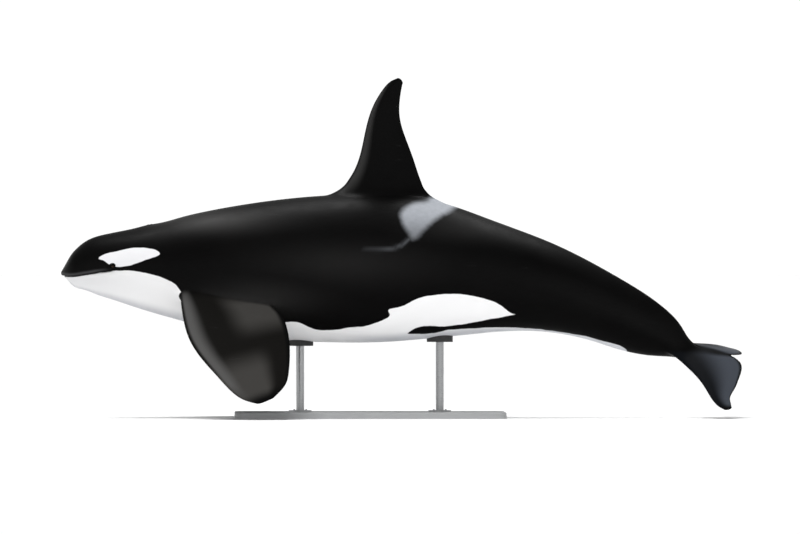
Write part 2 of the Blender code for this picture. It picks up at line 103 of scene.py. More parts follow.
# Each row of a fin is its leading edge and trailing edge, as aft and out, then its thickness.
DORSAL_AT = 3.13
DORSAL_ROWS = (
    (-0.760, -0.080, 0.640, -0.190, 0.340),
    (-0.545, 0.006, 0.485, -0.058, 0.290),
    (-0.449, 0.058, 0.410, -0.006, 0.250),
    (-0.385, 0.124, 0.352, 0.068, 0.215),
    (-0.324, 0.221, 0.302, 0.188, 0.180),
    (-0.263, 0.376, 0.250, 0.345, 0.148),
    (-0.215, 0.590, 0.187, 0.515, 0.115),
    (-0.137, 0.850, 0.119, 0.755, 0.082),
    (-0.050, 1.000, 0.121, 0.910, 0.058),
    (0.040, 1.093, 0.136, 1.012, 0.038),
    (0.120, 1.125, 0.150, 1.082, 0.018),
)
FLIPPER_AT = 1.335
FLIPPER_TURN = math.radians(119)
FLIPPER_ROWS = (
    (-0.190, -0.200, 0.150, -0.280, 0.190),
    (-0.178, -0.020, 0.280, -0.100, 0.150),
    (-0.168, 0.120, 0.490, 0.000, 0.125),
    (-0.145, 0.310, 0.690, 0.100, 0.110),
    (-0.085, 0.555, 0.808, 0.290, 0.095),
    (0.040, 0.790, 0.856, 0.510, 0.080),
    (0.185, 0.985, 0.866, 0.730, 0.066),
    (0.330, 1.160, 0.852, 0.950, 0.052),
    (0.465, 1.248, 0.795, 1.110, 0.038),
    (0.575, 1.278, 0.700, 1.220, 0.020),
)
FLIPPER_SPLAY_ROOT = math.radians(46)
FLIPPER_SPLAY_TIP = math.radians(29)
FLUKES_AT = 6.15
FLUKE_CHORD_PITCH = math.radians(8)
FLUKE_ROWS = (
    (-0.380, 0.014, 0.440, 0.014, 0.094),
    (-0.200, 0.085, 0.480, 0.048, 0.088),
    (-0.085, 0.180, 0.530, 0.118, 0.070),
    (0.018, 0.303, 0.545, 0.236, 0.056),
    (0.122, 0.439, 0.524, 0.380, 0.046),
    (0.208, 0.586, 0.491, 0.536, 0.037),
    (0.287, 0.740, 0.453, 0.690, 0.029),
    (0.352, 0.820, 0.466, 0.760, 0.022),
    (0.428, 0.860, 0.478, 0.826, 0.014),
)
FLUKE_DROOP_ROOT = math.radians(11)
FLUKE_DROOP_TIP = math.radians(23)
TRAILING_EDGE = 0.006

# Markings, seen from the left side. They are the same on both sides.
EYE_PATCH = (
    (0.365, 0.133), (0.442, 0.183), (0.518, 0.201), (0.640, 0.226), (0.740, 0.240),
    (0.861, 0.228), (0.940, 0.196), (0.951, 0.180), (0.925, 0.160), (0.836, 0.128),
    (0.751, 0.097), (0.653, 0.066), (0.563, 0.055), (0.520, 0.059), (0.457, 0.084),
    (0.406, 0.119),
)
WHITE_TOP = (
    (0.505, 0.016), (0.600, 0.022), (0.690, 0.018), (0.800, -0.001), (0.902, -0.023),
    (1.021, -0.069), (1.104, -0.120), (1.140, -0.166), (1.175, -0.205), (1.260, -0.245),
    (1.400, -0.295), (1.580, -0.355), (1.780, -0.412), (1.960, -0.452), (2.144, -0.475),
    (2.259, -0.471), (2.325, -0.497), (2.413, -0.536), (2.490, -0.551), (2.580, -0.550),
    (2.680, -0.541), (2.780, -0.523), (2.870, -0.518), (2.978, -0.494), (3.088, -0.450),
    (3.150, -0.400), (3.128, -0.368), (3.231, -0.329), (3.364, -0.268), (3.495, -0.225),
    (3.639, -0.207), (3.804, -0.204), (3.970, -0.229), (4.113, -0.268), (4.235, -0.334),
    (4.300, -0.384), (4.356, -0.400),
)
WHITE_UNDER_LOBE = (
    (4.267, -0.417), (4.113, -0.444), (3.970, -0.472), (3.804, -0.500), (3.661, -0.513),
    (3.529, -0.509), (3.441, -0.516), (3.352, -0.555), (3.314, -0.583), (3.364, -0.588),
    (3.529, -0.583), (3.616, -0.571), (3.683, -0.555), (3.859, -0.539), (4.080, -0.527),
    (4.300, -0.527), (4.596, -0.544), (4.787, -0.571), (5.027, -0.610), (5.171, -0.650),
    (5.315, -0.687), (5.390, -0.714), (5.430, -0.745),
)
WHITE_FRONT, WHITE_BOTTOM, WHITE_BELOW_MOUTH = -0.2, -3.0, 0.004
SADDLE = (
    (3.242, 0.569), (3.308, 0.636), (3.396, 0.674), (3.507, 0.700), (3.600, 0.760),
    (3.900, 0.720), (3.771, 0.608), (3.661, 0.547), (3.595, 0.509), (3.529, 0.448),
    (3.463, 0.388), (3.408, 0.326), (3.352, 0.316), (3.324, 0.360), (3.286, 0.426),
    (3.248, 0.503),
)
SADDLE_TAIL = ((3.325, 0.322), (3.254, 0.261), (3.165, 0.231), (3.066, 0.219), (2.867, 0.228))
SADDLE_TAIL_RIDGE = (1.0, 0.0, 0.015)
EYE_RIM = 0.012
LIP_SHEEN = (1.0, 0.022, 0.012)

# Painted sheen: soft grey highlights on the black of back and flank. Strength, middle and width aft, then
# the same above.
PAINTED_SHEENS = (
    ((0.80, 1.42, 0.50), (1.0, 0.50, 0.10)),
    ((0.45, 1.85, 0.50), (1.0, -0.25, 0.15)),
    ((0.22, 2.70, 0.70), (1.0, 0.10, 0.18)),
    ((0.25, 3.90, 0.50), (1.0, 0.42, 0.12)),
)
OUTLINE_POINTS = 90
OUTSIDE = -0.1

# How finely the skin is divided, and how near the small forms and fins it is finer.
AROUND = 130
NOSE_RINGS = 25
HEAD_END, BODY_START = 0.62, 1.20
FINE_SPACING, COARSE_SPACING = 0.0095, 0.030
MOUTH_REACH, MOUTH_REACH_AFT = 0.045, 0.06
EYE_REACH, BLOWHOLE_REACH, SLIT_REACH = 0.080, 0.090, 0.060
ROOT_REACH, REAR_FOOT_REACH = 0.06, 0.050
MARKING_REACH, BEHIND_HEAD = 0.022, 0.55
SLITS_REFINED = (3.72, 4.34, 0.06)
HELD_WHILE_DIVIDED = ("distance", "cosine", "sine")
FIN_CHORD_STEPS, FIN_SPAN_STEPS = 26, 60
FIN_END_CROWDING = 0.5
TIP_ROUNDING = {"dorsal": 0.45, "flipper": 0.10, "fluke": 0.45}
TIP_ANGLES = np.radians((25, 50, 72))

# How the skin runs into each fin: the blend's width, and how often and how strongly it is smoothed.
DORSAL_BLEND, FLIPPER_BLEND, FLUKE_BLEND = 0.13, 0.10, 0.12
FLUKE_BLEND_FADES = (6.30, 6.48)
BLEND_TURNS, BLEND_STEP = 6, 0.03
MERGE_GAP, SLIVER = 0.0035, 0.0003
CALM_SHARE, CALM_TURNS = 0.40, 8
RELAXING = 0.5
FIN_FOOT_RIM = 0.020

# The skin's small forms. A ridge, or a groove where it is negative, is its height, middle and width.
HEAD_FORMS_END = 0.8
LIP_RIDGES = ((0.004, 0.018, 0.013), (0.004, -0.020, 0.013), (-0.013, -0.001, 0.0045))
LID_RIDGES = ((0.0050, 1.30, 0.26), (0.0020, 2.35, 0.28), (-0.0030, 1.85, 0.22))
BROW = (0.006, 0.0, 0.070)
BLOWHOLE_RIDGES = ((0.0035, 0.014, 0.008), (0.0035, -0.014, 0.008), (-0.014, 0.0, 0.0050))
BLOWHOLE_MOUND = (0.006, 0.02, 0.10)
BELLY_SLIT, BELLY_SWELL = (-0.007, 0.0, 0.006), (0.004, 0.0, 0.03)
FLANK_RIDGES = ((0.010, math.radians(52), 0.33), (-0.009, math.radians(88), 0.22))
NECK_DIP = (-0.006, 1.0, 0.14)

# The eyeballs. The cornea is given in shares of the eyeball's radius.
CORNEA_BULGE, CORNEA_RADIUS = 0.16, 0.62
EYE_GAP = 0.001
EYE_RINGS, EYE_POINTS = 32, 48

# A bolt's washer and head: sides, radius at foot and top, height, middle above the flange, and turn.
BOLTS, BOLT_CIRCLE = 4, 0.74
BOLT_PIECES = (
    (24, 0.0125, 0.0125, 0.002, 0.0010, 0.0),
    (6, 0.0095, 0.0088, 0.007, 0.0055, 1.7),
)

# The skin's colours. Two colours are mixed by a patchy noise, or from front to rear.
BLACK = ((0.0008, 0.0008, 0.0009), (0.0030, 0.0029, 0.0028))
# Grey of the painted sheen on the black.
SHEEN_GREY = (0.030, 0.0295, 0.029)
FLIPPER_BROWN = ((0.0012, 0.0012, 0.0012), (0.0058, 0.0055, 0.0050))
# Painted highlights on the flipper's middle and near its tip.
FLIPPER_HIGHLIGHT = (0.0360, 0.0345, 0.0325)
FLIPPER_RIM = (0.0025, 0.0025, 0.0025)
FLUKE_SLATE = ((0.0035, 0.0040, 0.0050), (0.040, 0.045, 0.055))
FLUKE_RIM = (0.0025, 0.0026, 0.0028)
# Painted highlight along the front edges of the dorsal fin and flippers.
LEADING_EDGE_HIGHLIGHT = (0.066, 0.065, 0.064)
# Painted highlight along the upper lip.
LIP_HIGHLIGHT_GREY = (0.050, 0.050, 0.052)
SADDLE_GREY = (0.27, 0.285, 0.31)
# Painted shade and light: head whites greyer, belly white lighter, as the light on each differs; _SHADE is
# painted shade.
PATCH_WHITE_SHADED = ((0.62, 0.62, 0.64), (0.69, 0.69, 0.70))
THROAT_WHITE = ((0.71, 0.71, 0.72), (0.77, 0.77, 0.77))
THROAT_SHADE, CHIN_SHADE = (0.46, 0.465, 0.49), (0.52, 0.525, 0.54)
BELLY_WHITE_LIT = ((0.76, 0.76, 0.77), (0.83, 0.83, 0.83))
BELLY_SHADE = (0.52, 0.53, 0.56)
SCRATCH_GREY = (0.20, 0.20, 0.20)

# Stage, lights and camera.
FLOOR_REACH = 1500.0
KEY_STRENGTH, FILL_STRENGTH, BACK_STRENGTH = 2.95, 45, 260
HORIZON_STRENGTH, OVERHEAD_STRENGTH = 1.05, 0.22
HORIZON_GLOW = (0.12, 0.50)
VIEW_WIDTH, VIEW_CENTRE = 7.68, (0.288, 0.0, 1.450)
CAMERA_TURN = math.radians(-0.9)
LENS, SENSOR = 400, 36

# The nodes that the skin takes the place of.
FLESH = ["head", "lower_jaw", "chest", "midbody", "tail_stock", "dorsal_fin"]
FLESH += [f"{kind}_{side}" for kind in ("flipper", "fluke") for side in ("left", "right")]


# Curves through the tables.


def spline(knots, values):
    """A natural cubic spline through the values, which may be rows, as a function."""
    x = np.asarray(knots, float)
    y = np.asarray(values, float).reshape(len(x), -1)
    h = np.diff(x)[:, None]
    rises = np.diff(y, axis=0) / h
    system = np.eye(len(x))
    right = np.zeros_like(y)
    for i in range(1, len(x) - 1):
        system[i, i - 1 : i + 2] = h[i - 1, 0], 2 * (h[i - 1, 0] + h[i, 0]), h[i, 0]
        right[i] = 6 * (rises[i] - rises[i - 1])
    bend = np.linalg.solve(system, right)

    def at(where):
        where = np.atleast_1d(np.asarray(where, float))
        i = np.clip(np.searchsorted(x, where) - 1, 0, len(x) - 2)
        before = (where - x[i])[:, None]
        after = (x[i + 1] - where)[:, None]
        width = h[i]
        return (
            (bend[i] * after**3 + bend[i + 1] * before**3) / (6 * width)
            + (y[i] / width - bend[i] * width / 6) * after
            + (y[i + 1] / width - bend[i + 1] * width / 6) * before
        )

    return at


def along(points):
    """The distance of each point along the line through them."""
    steps = np.linalg.norm(np.diff(np.asarray(points, float), axis=0), axis=1)
    return np.concatenate([[0.0], np.cumsum(steps)])


def smoothstep(low, high, value):
    t = np.clip((value - low) / (high - low), 0.0, 1.0)
    return t * t * (3 - 2 * t)


def ridges(value, *forms):
    """The sum of smooth ridges across a value, each given by its height, middle and width."""
    return sum(height * np.exp(-(((value - middle) / width) ** 2)) for height, middle, width in forms)


AXIS_CURVE = spline(along(AXIS), AXIS)
STATION_CURVES = spline([row[0] for row in STATIONS], [row[1:] for row in STATIONS])
MOUTH_CURVE = spline(*zip(*MOUTH_LINE))
MOUTH_END = MOUTH_LINE[-1][0]
AFT, SIDE, UP = np.eye(3)


# The body's surface.


def axis_frame(d):
    """The axis at distance d: its place, and the directions aft, to the right side and to the back."""
    step = 1e-3
    flat = AXIS_CURVE(d)
    slope = (AXIS_CURVE(d + step) - AXIS_CURVE(d - step)) / (2 * step)
    slope /= np.linalg.norm(slope, axis=1)[:, None]
    zero = np.zeros(len(flat))
    place = np.stack([SNOUT_X + flat[:, 0], zero, SNOUT_HEIGHT + flat[:, 1]], axis=1)
    aft = np.stack([slope[:, 0], zero, slope[:, 1]], axis=1)
    straight_up = np.stack([-slope[:, 1], zero, slope[:, 0]], axis=1)
    roll = (TAIL_ROLL * smoothstep(ROLL_FROM, ROLL_TO, d))[:, None]
    right = np.cos(roll) * SIDE + np.sin(roll) * straight_up
    back = np.cos(roll) * straight_up - np.sin(roll) * SIDE
    return place, aft, right, back


def body_points(d, turn):
    """Points of the body's surface. The turn goes from 0 on the back over the right side to the belly."""
    d, turn = np.broadcast_arrays(np.atleast_1d(np.asarray(d, float)), np.asarray(turn, float))
    back_size, belly_size, half_width, crest, keel = STATION_CURVES(d).T
    nose = np.sqrt(1 - np.clip(1 - d / NOSE_ROUNDING, 0.0, 1.0) ** 2)
    nose *= np.sqrt(np.clip((SKIN_END - d) / TAIL_FADE, 0.0, 1.0))
    rise, reach = np.cos(turn), np.sin(turn)
    size = np.where(rise > 0, back_size, belly_size)
    sharpness = np.where(rise > 0, crest, keel)
    out = half_width * nose * np.sign(reach) * np.abs(reach) ** sharpness
    up = size * nose * rise
    place, _, right, back = axis_frame(d)
    return place + out[:, None] * right + up[:, None] * back


def body_spot(d, turn):
    """One point of the surface and the directions there: outward, aft along it and round it."""
    step = 1e-3
    here = body_points(d, turn)[0]
    aft = body_points(d + step, turn)[0] - body_points(d - step, turn)[0]
    round_it = body_points(d, turn + step)[0] - body_points(d, turn - step)[0]
    aft /= np.linalg.norm(aft)
    round_it /= np.linalg.norm(round_it)
    outward = np.cross(aft, round_it)
    return here, outward / np.linalg.norm(outward), aft, round_it


def from_axis(points, distances):
    """How far points are from the axis at these distances: along it, to the right side and to the back."""
    place, *directions = axis_frame(distances)
    return [((points - place) * direction).sum(axis=1) for direction in directions]


def axis_distances(points):
    """How far along the axis points are."""
    where = np.linspace(0.0, SKIN_END, 700)
    line = axis_frame(where)[0][:, [0, 2]]
    found = np.empty(len(points))
    for start in range(0, len(points), 20000):
        part = points[start : start + 20000, None, [0, 2]]
        found[start : start + 20000] = where[((part - line) ** 2).sum(axis=2).argmin(axis=1)]
    return np.clip(found + from_axis(points, found)[0], 0.0, SKIN_END)


def underside(points, distances):
    """How far towards the belly's middle line points are: 1 there, 0 at half height, -1 on the back."""
    up = from_axis(points, distances)[2]
    away = np.linalg.norm(points - axis_frame(distances)[0], axis=1)
    return -up / np.maximum(away, 1e-6)


def side_view(points):
    """Where points are seen from the left side: aft of the snout's tip and above it."""
    return points[:, [0, 2]] - (SNOUT_X, SNOUT_HEIGHT)


def folded_view(points, distances):
    """The view from the left side, once points of the right side are mirrored there."""
    place, aft, right, back = axis_frame(distances)
    ahead, out, up = (gap[:, None] for gap in from_axis(points, distances))
    return side_view(place + ahead * aft - np.abs(out) * right + up * back)


def above_mouth(aft, above):
    """How far places of the side view are above the line of the mouth."""
    return above - MOUTH_CURVE(np.clip(aft, MOUTH_LINE[0][0], MOUTH_END))[:, 0]


# Markings.


def closed_curve(points, count):
    """A smooth closed outline through the points."""
    ring = np.array(list(points[-3:]) + list(points) + list(points[:3]), float)
    where = along(ring)
    curve = spline(where, ring)
    return curve(np.linspace(where[3], where[-3], count, endpoint=False))


def open_curve(points, count):
    """A smooth line through the points."""
    where = along(points)
    return spline(where, points)(np.linspace(0, where[-1], count))


def white_outline():
    """The white of chin, throat and belly, as one outline that closes far below the body."""
    aft = np.linspace(WHITE_FRONT, MOUTH_END, 24)[:-1]
    lip = MOUTH_CURVE(np.maximum(aft, MOUTH_LINE[0][0]))[:, 0] - WHITE_BELOW_MOUTH
    under_lobe = open_curve((WHITE_TOP[-1],) + WHITE_UNDER_LOBE, 110)[1:]
    closing = [(WHITE_UNDER_LOBE[-1][0], WHITE_BOTTOM), (WHITE_FRONT, WHITE_BOTTOM)]
    return np.concatenate([np.stack([aft, lip], axis=1), open_curve(WHITE_TOP, 150), under_lobe, closing])


def segment_distance(points, a, b):
    """How far 2-D points are from the segment, and where on it they are nearest, from 0 at a to 1 at b."""
    edge = b - a
    share = np.clip(((points - a) @ edge) / max(float(edge @ edge), 1e-12), 0.0, 1.0)
    return np.linalg.norm(points - a - share[:, None] * edge, axis=1), share


def signed_distance(points, outline):
    """How far inside a closed outline each 2-D point is; negative outside."""
    gap = np.full(len(points), np.inf)
    inside = np.zeros(len(points), bool)
    for a, b in zip(outline, np.roll(outline, -1, axis=0)):
        gap = np.minimum(gap, segment_distance(points, a, b)[0])
        if abs(b[1] - a[1]) > 1e-12:
            between = (points[:, 1] < a[1]) != (points[:, 1] < b[1])
            crossing = a[0] + (points[:, 1] - a[1]) * (b[0] - a[0]) / (b[1] - a[1])
            inside ^= between & (points[:, 0] < crossing)
    return gap * np.where(inside, 1.0, -1.0)


def line_distance(points, line):
    """How far each 2-D point is from a line, and how far along the line that is, from 0 to 1."""
    where = along(line)
    gap = np.full(len(points), np.inf)
    place = np.zeros(len(points))
    for i in range(len(line) - 1):
        new_gap, share = segment_distance(points, line[i], line[i + 1])
        new_place = (where[i] + share * (where[i + 1] - where[i])) / where[-1]
        place = np.where(new_gap < gap, new_place, place)
        gap = np.minimum(gap, new_gap)
    return gap, place


WHITE = white_outline()
PATCH = closed_curve(EYE_PATCH, OUTLINE_POINTS)
GREY = closed_curve(SADDLE, OUTLINE_POINTS)


def white_field(flat):
    return np.maximum(signed_distance(flat, WHITE), signed_distance(flat, PATCH))


# The skin's meshes.


def new_object(name, mesh):
    obj = bpy.data.objects.new(name, mesh)
    bpy.context.scene.collection.objects.link(obj)
    return obj


@contextmanager
def editing(mesh):
    """The mesh opened for editing, and written back at the end."""
    work = bmesh.new()
    work.from_mesh(mesh)
    yield work
    work.to_mesh(mesh)
    work.free()


def mesh_from(name, points, faces):
    """A mesh of these points and faces, with its normals facing out."""
    mesh = bpy.data.meshes.new(name)
    mesh.from_pydata([tuple(map(float, p)) for p in points], [], faces)
    with editing(mesh) as work:
        bmesh.ops.recalc_face_normals(work, faces=work.faces)
    return mesh


def rings_to_mesh(name, rings, start=None, end=None):
    """A mesh through rings of equal count, closed by tip points or else by the end rings' middles."""
    count = len(rings[0])
    points = np.concatenate([np.asarray(ring) for ring in rings])
    faces = []
    for i in range(len(rings) - 1):
        low, high = i * count, (i + 1) * count
        faces += [(low + j, low + (j + 1) % count, high + (j + 1) % count, high + j) for j in range(count)]
    last = (len(rings) - 1) * count
    tips = []
    for tip, first in ((start, 0), (end, last)):
        tips.append(points[first : first + count].mean(axis=0) if tip is None else tip)
        apex = len(points) + len(tips) - 1
        faces += [(first + j, first + (j + 1) % count, apex) for j in range(count)]
    return mesh_from(name, np.concatenate([points, tips]), faces)


def ring_distances():
    """Where along the axis the skin's rings are: closer together on the head."""
    nose = NOSE_ROUNDING * (1 - np.cos(np.linspace(0, math.pi / 2, NOSE_RINGS + 1)[1:]))
    found = list(nose)
    while found[-1] < SKIN_END - COARSE_SPACING:
        share = smoothstep(HEAD_END, BODY_START, found[-1])
        found.append(found[-1] + FINE_SPACING + (COARSE_SPACING - FINE_SPACING) * share)
    return np.array(found)


def refine(work, layers, wanted):
    """Halves the edges of the faces whose middles are wanted, and puts new points on the body's surface."""
    chosen = wanted(np.array([face.calc_center_median() for face in work.faces]))
    edges = {edge for face, use in zip(work.faces, chosen) if use for edge in face.edges}
    bmesh.ops.subdivide_edges(work, edges=list(edges), cuts=1, use_grid_fill=True)
    many_sided = [face for face in work.faces if len(face.verts) > 4]
    for vert in bmesh.ops.poke(work, faces=many_sided)["verts"]:
        around = [edge.other_vert(vert) for edge in vert.link_edges]
        for layer in layers:
            vert[layer] = sum(other[layer] for other in around) / len(around)
    held = np.array([[vert[layer] for layer in layers] for vert in work.verts])
    points = body_points(held[:, 0], np.arctan2(held[:, 2], held[:, 1]))
    for vert, point in zip(work.verts, points):
        vert.co = point


def rear_feet(mesh, fins):
    """Points of the fins' rear edges, where these enter the body."""
    tree = tree_of(mesh)
    found = []
    for _, fin, facts, _ in fins:
        rear = get_points(fin)[facts[:, 0] > 0.97]
        found += list(rear[np.abs(nearest(tree, rear)[0]) < 0.03])
    return found


def body_mesh(fins):
    """The body as a grid, finer at the mouth, eyes, blowhole, fins and edges of the markings."""
    turns = np.linspace(0, 2 * math.pi, AROUND, endpoint=False)
    distances = ring_distances()
    rings = [body_points(d, turns) for d in distances]
    mesh = rings_to_mesh("skin", rings, start=body_points(0.0, 0.0)[0], end=body_points(SKIN_END, 0.0)[0])
    slits = body_points(np.arange(*SLITS_REFINED), math.pi)
    upright = [fin for fin in fins if fin[0] != "fluke"]
    trees = [(tree_of(fin), get_points(fin)) for _, fin, _, _ in upright]
    fine_spots = [(body_spot(EYE_AT, side * EYE_TURN)[0], EYE_REACH) for side in (1, -1)]
    fine_spots += [(body_spot(BLOWHOLE_AT, 0.0)[0], BLOWHOLE_REACH)]
    fine_spots += [(slit, SLIT_REACH) for slit in slits]
    fine_spots += [(foot, REAR_FOOT_REACH) for foot in rear_feet(mesh, upright)]

    def fine_places(points):
        aft, above = side_view(points).T
        mouth = (np.abs(above_mouth(aft, above)) < MOUTH_REACH) & (aft < MOUTH_END + MOUTH_REACH_AFT)
        near = [np.linalg.norm(points - spot, axis=1) < reach for spot, reach in fine_spots]
        return mouth | np.any(near, axis=0)

    def marking_edges(points):
        flat = side_view(points)
        return (flat[:, 0] > BEHIND_HEAD) & (np.abs(white_field(flat)) < MARKING_REACH)

    def fin_roots(points):
        found = np.zeros(len(points), bool)
        for tree, fin_points in trees:
            near = np.flatnonzero(within_box(points, fin_points, ROOT_REACH))
            found[near] |= np.abs(nearest(tree, points[near])[0]) < ROOT_REACH
        return found

    held = [(d, math.cos(t), math.sin(t)) for d in distances for t in turns]
    held += [(0.0, 0.0, 0.0), (SKIN_END, 0.0, 0.0)]
    with editing(mesh) as work:
        layers = [work.verts.layers.float.new(name) for name in HELD_WHILE_DIVIDED]
        for vert, values in zip(work.verts, held):
            for layer, value in zip(layers, values):
                vert[layer] = value
        refine(work, layers, lambda points: fine_places(points) | marking_edges(points) | fin_roots(points))
        refine(work, layers, fine_places)
    for name in HELD_WHILE_DIVIDED:
        mesh.attributes.remove(mesh.attributes[name])
    return mesh


def foil(c):
    """Half the thickness of a fin's section at a share c of its chord, as a share of its full thickness."""
    return 5 * (0.2969 * np.sqrt(c) - 0.1260 * c - 0.3516 * c**2 + 0.2843 * c**3 - 0.1036 * c**4)


def fin_rings(rows, rounding, place):
    """Rings of a fin from its root to its rounded tip, and each point's share of chord and span and side."""
    table = np.asarray(rows, float)
    middles = (table[:, 0:2] + table[:, 2:4]) / 2
    curves = spline(along(middles), table)
    length = along(middles)[-1]
    shares = np.linspace(0, 1, FIN_SPAN_STEPS + 1)
    shares -= FIN_END_CROWDING * np.sin(2 * math.pi * shares) / (2 * math.pi)
    tip_chord = math.hypot(table[-1, 2] - table[-1, 0], table[-1, 3] - table[-1, 1])
    shares *= 1 - rounding * tip_chord / length
    chord = (1 - np.cos(np.linspace(0, math.pi, FIN_CHORD_STEPS + 1))) / 2
    rings = []
    for share in shares:
        lead_aft, lead_out, trail_aft, trail_out, thickness = curves(share * length)[0]
        half = np.maximum(foil(chord) * thickness, TRAILING_EDGE / 2 * np.sqrt(chord))
        aft = lead_aft + chord * (trail_aft - lead_aft)
        out = lead_out + chord * (trail_out - lead_out)
        upper = [place(a, o, h) for a, o, h in zip(aft, out, half)]
        lower = [place(a, o, -h) for a, o, h in zip(aft, out, half)]
        rings.append(np.array(upper + lower[:0:-1]))
    last, before = rings[-1], rings[-2]
    middle = last.mean(axis=0)
    onward = middle - before.mean(axis=0)
    tip = onward / np.linalg.norm(onward) * rounding * tip_chord
    for angle in TIP_ANGLES:
        rings.append(middle + math.cos(angle) * (last - middle) + math.sin(angle) * tip)
    face = np.concatenate([np.ones(len(chord)), -np.ones(len(chord) - 1)])
    ring_chord = np.concatenate([chord, chord[:0:-1]])
    spans = np.concatenate([shares, np.ones(len(TIP_ANGLES))])
    facts = [np.stack([ring_chord, np.full(len(face), span), face], axis=1) for span in spans]
    return rings, facts, middle + tip


def fin_mesh(name, rows, place):
    rings, facts, tip = fin_rings(rows, TIP_ROUNDING[name], place)
    middle_fact = [(0.5, 0.0, 0.0)]
    return rings_to_mesh(name, rings, end=tip), np.concatenate(facts + [middle_fact, middle_fact])


def flukes_mesh():
    """Both flukes as one form, from the left tip to the right one."""
    cos, sin = math.cos(FLUKE_CHORD_PITCH), math.sin(FLUKE_CHORD_PITCH)
    foot = axis_frame(np.array([FLUKES_AT]))[0][0]
    halves = []
    for side in (-1, 1):
        directions = cos * AFT - sin * UP, side * SIDE, cos * UP + sin * AFT
        slopes = side * TAIL_ROLL - FLUKE_DROOP_ROOT, side * TAIL_ROLL - FLUKE_DROOP_TIP
        place = swept_place(foot, directions, slopes, FLUKE_ROWS)
        halves.append(fin_rings(FLUKE_ROWS, TIP_ROUNDING["fluke"], place))
    (left, left_facts, left_tip), (right, right_facts, right_tip) = halves
    mesh = rings_to_mesh("fluke", left[::-1] + right, start=left_tip, end=right_tip)
    tip_facts = [(0.5, 1.0, 0.0), (0.5, 1.0, 0.0)]
    return mesh, np.concatenate(left_facts[::-1] + right_facts + [tip_facts])


def swept_place(foot, directions, slopes, rows):
    """Places a fin that curves along its span, from one slope between across and lift to another."""
    aft, across, lift = directions
    angle_root, angle_tip = slopes
    bend = (angle_tip - angle_root) / max(row[1] for row in rows)

    def place(a, out, height):
        angle = angle_root + bend * out
        run = (math.sin(angle) - math.sin(angle_root)) / bend
        rise = (math.cos(angle_root) - math.cos(angle)) / bend
        normal = math.cos(angle) * lift - math.sin(angle) * across
        return foot + a * aft + run * across + rise * lift + height * normal

    return place


def make_fins():
    """Every fin as (kind, mesh, each point's facts, width of its blend into the body)."""
    top = body_points(DORSAL_AT, 0.0)[0]
    mesh, facts = fin_mesh("dorsal", DORSAL_ROWS, lambda a, o, h: top + a * AFT + o * UP + h * SIDE)
    found = [("dorsal", mesh, facts, DORSAL_BLEND)]
    for side in (-1, 1):
        foot = body_points(FLIPPER_AT, side * FLIPPER_TURN)[0]
        slopes = FLIPPER_SPLAY_ROOT, FLIPPER_SPLAY_TIP
        place = swept_place(foot, (AFT, -UP, side * SIDE), slopes, FLIPPER_ROWS)
        found.append(("flipper", *fin_mesh("flipper", FLIPPER_ROWS, place), FLIPPER_BLEND))
    found.append(("fluke", *flukes_mesh(), FLUKE_BLEND))
    return found


def tree_of(mesh):
    faces = [tuple(face.vertices) for face in mesh.polygons]
    return BVHTree.FromPolygons([vert.co.copy() for vert in mesh.vertices], faces)


def nearest(tree, points):
    """For each point, how far outside the tree's surface it is, and the direction away from that surface."""
    gaps = np.empty(len(points))
    directions = np.empty((len(points), 3))
    for i, point in enumerate(points):
        spot, normal, _, gap = tree.find_nearest(Vector(point))
        if gap < 1e-5:
            gaps[i], directions[i] = gap, normal
            continue
        away = (point - np.array(spot)) / gap
        inside = away @ np.array(normal) < -0.5
        gaps[i] = -gap if inside else gap
        directions[i] = -away if inside else away
    return gaps, directions


def facts_near(mesh, facts, points):
    """The facts of the mesh's nearest points, mixed by how near they are."""
    tree = KDTree(len(mesh.vertices))
    for vert in mesh.vertices:
        tree.insert(vert.co, vert.index)
    tree.balance()
    found = np.empty((len(points), facts.shape[1]))
    for i, point in enumerate(points):
        near = tree.find_n(Vector(point), 4)
        weights = np.array([1 / (gap**2 + 1e-7) for _, _, gap in near])
        found[i] = weights @ facts[[index for _, index, _ in near]] / weights.sum()
    return found


def join_fins(skin, fins):
    for kind, mesh, _, _ in fins:
        other = new_object(kind, mesh)
        modifier = skin.modifiers.new(kind, "BOOLEAN")
        modifier.operation = "UNION"
        modifier.object = other
        modifier.solver = "MANIFOLD"
    graph = bpy.context.evaluated_depsgraph_get()
    mesh = bpy.data.meshes.new_from_object(skin.evaluated_get(graph))
    for modifier in list(skin.modifiers):
        bpy.data.objects.remove(modifier.object)
    skin.modifiers.clear()
    skin.data = mesh


def vectors(items, name):
    values = np.empty(len(items) * 3)
    items.foreach_get(name, values)
    return values.reshape(-1, 3)


def get_points(mesh):
    return vectors(mesh.vertices, "co")


def set_points(mesh, points):
    mesh.vertices.foreach_set("co", points.ravel())
    mesh.update()


def within_box(points, box_points, margin):
    low, high = box_points.min(axis=0) - margin, box_points.max(axis=0) + margin
    return np.all((points > low) & (points < high), axis=1)


def blend_band(skin, body_tree, fin_tree, fin, width):
    """The points near both surfaces, and how freely each may slide along the skin."""
    points = get_points(skin.data)
    near = np.flatnonzero(within_box(points, get_points(fin), width))
    to_fin = nearest(fin_tree, points[near])[0]
    near, to_fin = near[np.abs(to_fin) < width], to_fin[np.abs(to_fin) < width]
    to_body = nearest(body_tree, points[near])[0]
    inside = np.abs(to_body) < width
    spare = width - np.maximum(to_body, to_fin)[inside]
    return near[inside], smoothstep(0.0, 0.25 * width, spare)


